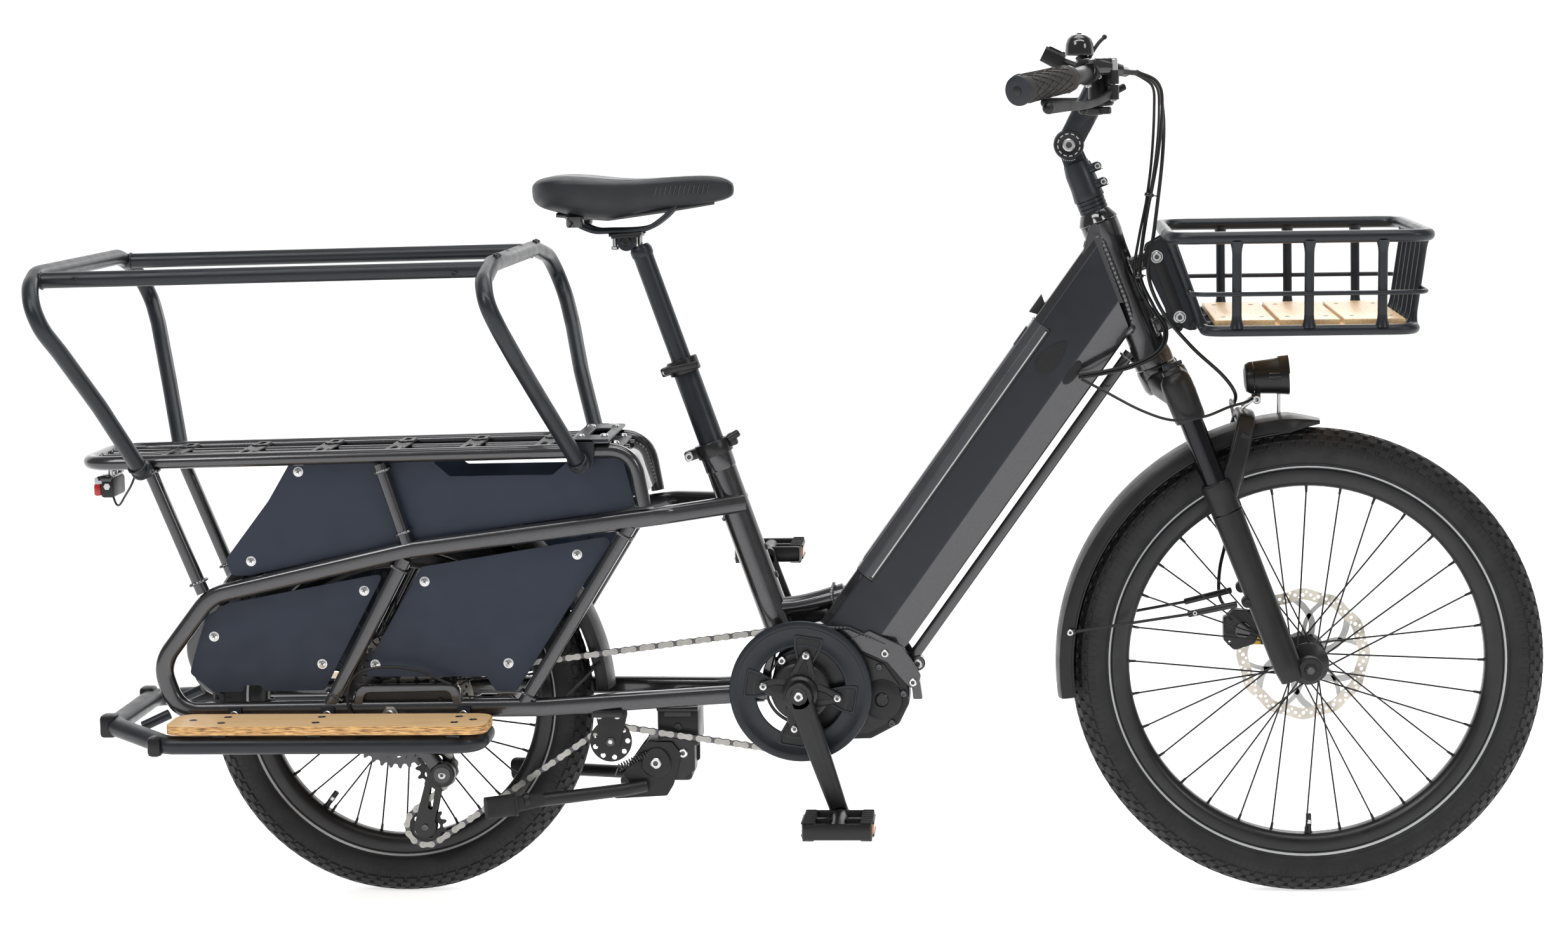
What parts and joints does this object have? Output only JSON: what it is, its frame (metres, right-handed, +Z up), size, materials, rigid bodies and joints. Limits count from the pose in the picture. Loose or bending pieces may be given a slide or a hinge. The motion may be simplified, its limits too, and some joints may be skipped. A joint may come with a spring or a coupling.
{
  "type": "long-tail electric cargo bicycle",
  "caption": "Long-tail electric cargo bicycle with passenger rails and footboards behind the saddle, a frame-mounted front basket, mid motor and suspension fork.",
  "frame": {"origin": "centre of the bounding box in plan, at the ground", "axes": "+X from the rear wheel to the front wheel, +Y to the rider's left, +Z up"},
  "size_m": [1.9663, 0.669, 1.143],
  "materials": {
    "frame_paint": "gloss metallic graphite paint over aluminium tube",
    "satin_tube": "satin black powder coat with a blue cast",
    "panel_sheet": "matt dark blue-grey coated sheet",
    "black_plastic": "moulded black plastic",
    "tyre_rubber": "black tread rubber with a reflective stripe",
    "soft_rubber": "soft brown-grey rubber",
    "black_metal": "black anodised or painted metal",
    "bright_metal": "bare steel",
    "chain_steel": "grey plated steel",
    "bamboo": "clear coated bamboo ply",
    "saddle_cover": "synthetic cover, matt",
    "battery_case": "grey moulded cover",
    "lamp_lens": "red lens",
    "hose": "black outer casing"
  },
  "bodies": {
    "frame": {"main_frame": "frame_paint", "motor_unit": "black_plastic", "rear_truss_right": "frame_paint", "rear_truss_left": "frame_paint", "rack_deck": "frame_paint", "upper_panel_right": "panel_sheet", "upper_panel_left": "panel_sheet", "rear_panel_right": "panel_sheet", "rear_panel_left": "panel_sheet", "front_panel_right": "panel_sheet", "front_panel_left": "panel_sheet", "rail_front_hoop": "satin_tube", "rail_rear_hoop": "satin_tube", "footboard_frame": "satin_tube", "footboard_right": "bamboo", "footboard_left": "bamboo", "rear_mudguard": "black_plastic", "rear_light": "lamp_lens", "kickstand_mount": "black_metal", "derailleur": "black_plastic", "chain": "chain_steel", "basket": "satin_tube", "basket_floor": "bamboo"},
    "battery_pack": {"battery": "battery_case"},
    "steering": {"fork_crown": "black_metal", "stem_base": "satin_tube", "cable_bundle": "hose", "front_brake_hose": "hose", "headlight_wire": "hose"},
    "fork_slider": {"fork_lowers": "black_metal", "front_mudguard": "black_plastic", "headlight": "black_plastic"},
    "front_wheel": {"front_tyre": "tyre_rubber", "front_rim": "black_metal", "front_hub": "black_metal", "front_rotor": "bright_metal"},
    "bars": {"stem_arm": "satin_tube", "handlebar": "black_metal", "grip_right": "soft_rubber", "grip_left": "soft_rubber"},
    "brake_right": {"brake_lever_right": "black_metal"},
    "brake_left": {"brake_lever_left": "black_metal"},
    "shifter": {"shift_lever": "black_plastic"},
    "post_lower": {"seatpost_lower": "satin_tube"},
    "post_upper": {"seatpost_upper": "satin_tube", "saddle": "saddle_cover"},
    "rear_wheel": {"rear_tyre": "tyre_rubber", "rear_rim": "black_metal", "rear_hub": "black_metal", "rear_rotor": "bright_metal"},
    "sprockets": {"cassette": "bright_metal"},
    "crankset": {"crank_arm_right": "black_metal", "crank_arm_left": "black_metal", "chainring": "black_metal"},
    "pedal_right": {"pedal_right": "black_plastic"},
    "pedal_left": {"pedal_left": "black_plastic"},
    "guide_wheel": {"guide_pulley": "black_plastic"},
    "tension_wheel": {"tension_pulley": "black_plastic"},
    "idler": {"idler_wheel": "black_plastic"},
    "kickstand": {"kickstand_legs": "black_metal"}
  },
  "joints": [
    {"name": "steering_turn", "type": "hinge", "parent": "frame", "child": "steering", "pos_m": [0.4762, 0, 0.71], "axis": [-0.3584, 0, 0.9336], "range_deg": [-50, 50], "deforming": ["cable_bundle", "front_brake_hose", "headlight_wire"]},
    {"name": "fork_travel", "type": "slide", "parent": "steering", "child": "fork_slider", "axis": [-0.3584, 0, 0.9336], "range_m": [0, 0.04], "stiffness_N_per_m": 9000},
    {"name": "front_wheel_spin", "type": "hinge", "parent": "fork_slider", "child": "front_wheel", "pos_m": [0.6752, 0, 0.3125], "axis": [0, 1, 0], "continuous": true},
    {"name": "stem_tilt", "type": "hinge", "parent": "steering", "child": "bars", "pos_m": [0.3642, 0, 1.003], "axis": [0, 1, 0], "range_deg": [-10, 10]},
    {"name": "brake_right_pull", "type": "hinge", "parent": "bars", "child": "brake_right", "pos_m": [0.4202, -0.138, 1.07], "axis": [0, 0, 1], "range_deg": [0, 14], "stiffness_Nm_per_rad": 1.5},
    {"name": "brake_left_pull", "type": "hinge", "parent": "bars", "child": "brake_left", "pos_m": [0.4202, 0.138, 1.07], "axis": [0, 0, -1], "range_deg": [0, 14], "stiffness_Nm_per_rad": 1.5},
    {"name": "shifter_push", "type": "hinge", "parent": "bars", "child": "shifter", "pos_m": [0.4052, -0.112, 1.048], "axis": [0, 0, 1], "range_deg": [0, 25], "stiffness_Nm_per_rad": 0.4},
    {"name": "battery_release", "type": "slide", "parent": "frame", "child": "battery_pack", "axis": [-0.8121, 0, 0.5835], "range_m": [0, 0.1]},
    {"name": "post_lower_height", "type": "slide", "parent": "frame", "child": "post_lower", "axis": [-0.3272, 0, 0.9449], "range_m": [-0.06, 0.06]},
    {"name": "post_upper_height", "type": "slide", "parent": "post_lower", "child": "post_upper", "axis": [-0.3272, 0, 0.9449], "range_m": [-0.12, 0.04]},
    {"name": "rear_wheel_spin", "type": "hinge", "parent": "frame", "child": "rear_wheel", "pos_m": [-0.5458, 0, 0.262], "axis": [0, 1, 0], "continuous": true},
    {"name": "sprocket_spin", "type": "hinge", "parent": "frame", "child": "sprockets", "pos_m": [-0.5458, 0, 0.262], "axis": [0, 1, 0], "continuous": true},
    {"name": "crank_spin", "type": "hinge", "parent": "frame", "child": "crankset", "pos_m": [0.0017, 0, 0.283], "axis": [0, 1, 0], "continuous": true},
    {"name": "pedal_right_spin", "type": "hinge", "parent": "crankset", "child": "pedal_right", "pos_m": [0.05536, -0.15, 0.12169], "axis": [0, 1, 0], "continuous": true},
    {"name": "pedal_left_spin", "type": "hinge", "parent": "crankset", "child": "pedal_left", "pos_m": [-0.05196, 0.15, 0.44431], "axis": [0, 1, 0], "continuous": true},
    {"name": "guide_wheel_spin", "type": "hinge", "parent": "frame", "child": "guide_wheel", "pos_m": [-0.4938, -0.05, 0.178], "axis": [0, 1, 0], "continuous": true},
    {"name": "tension_wheel_spin", "type": "hinge", "parent": "frame", "child": "tension_wheel", "pos_m": [-0.5098, -0.05, 0.099], "axis": [0, 1, 0], "continuous": true},
    {"name": "idler_spin", "type": "hinge", "parent": "frame", "child": "idler", "pos_m": [-0.2548, -0.05, 0.216], "axis": [0, 1, 0], "continuous": true},
    {"name": "kickstand_fold", "type": "hinge", "parent": "frame", "child": "kickstand", "pos_m": [-0.1958, 0, 0.184], "axis": [0, -1, 0], "range_deg": [0, 95]}
  ],
  "couplings": [
    {"joint": "sprocket_spin", "follows": "crank_spin", "ratio": 2.3333},
    {"joint": "tension_wheel_spin", "follows": "crank_spin", "ratio": 3.2308},
    {"joint": "guide_wheel_spin", "follows": "crank_spin", "ratio": -3.2308},
    {"joint": "idler_spin", "follows": "crank_spin", "ratio": -4.2}
  ]
}
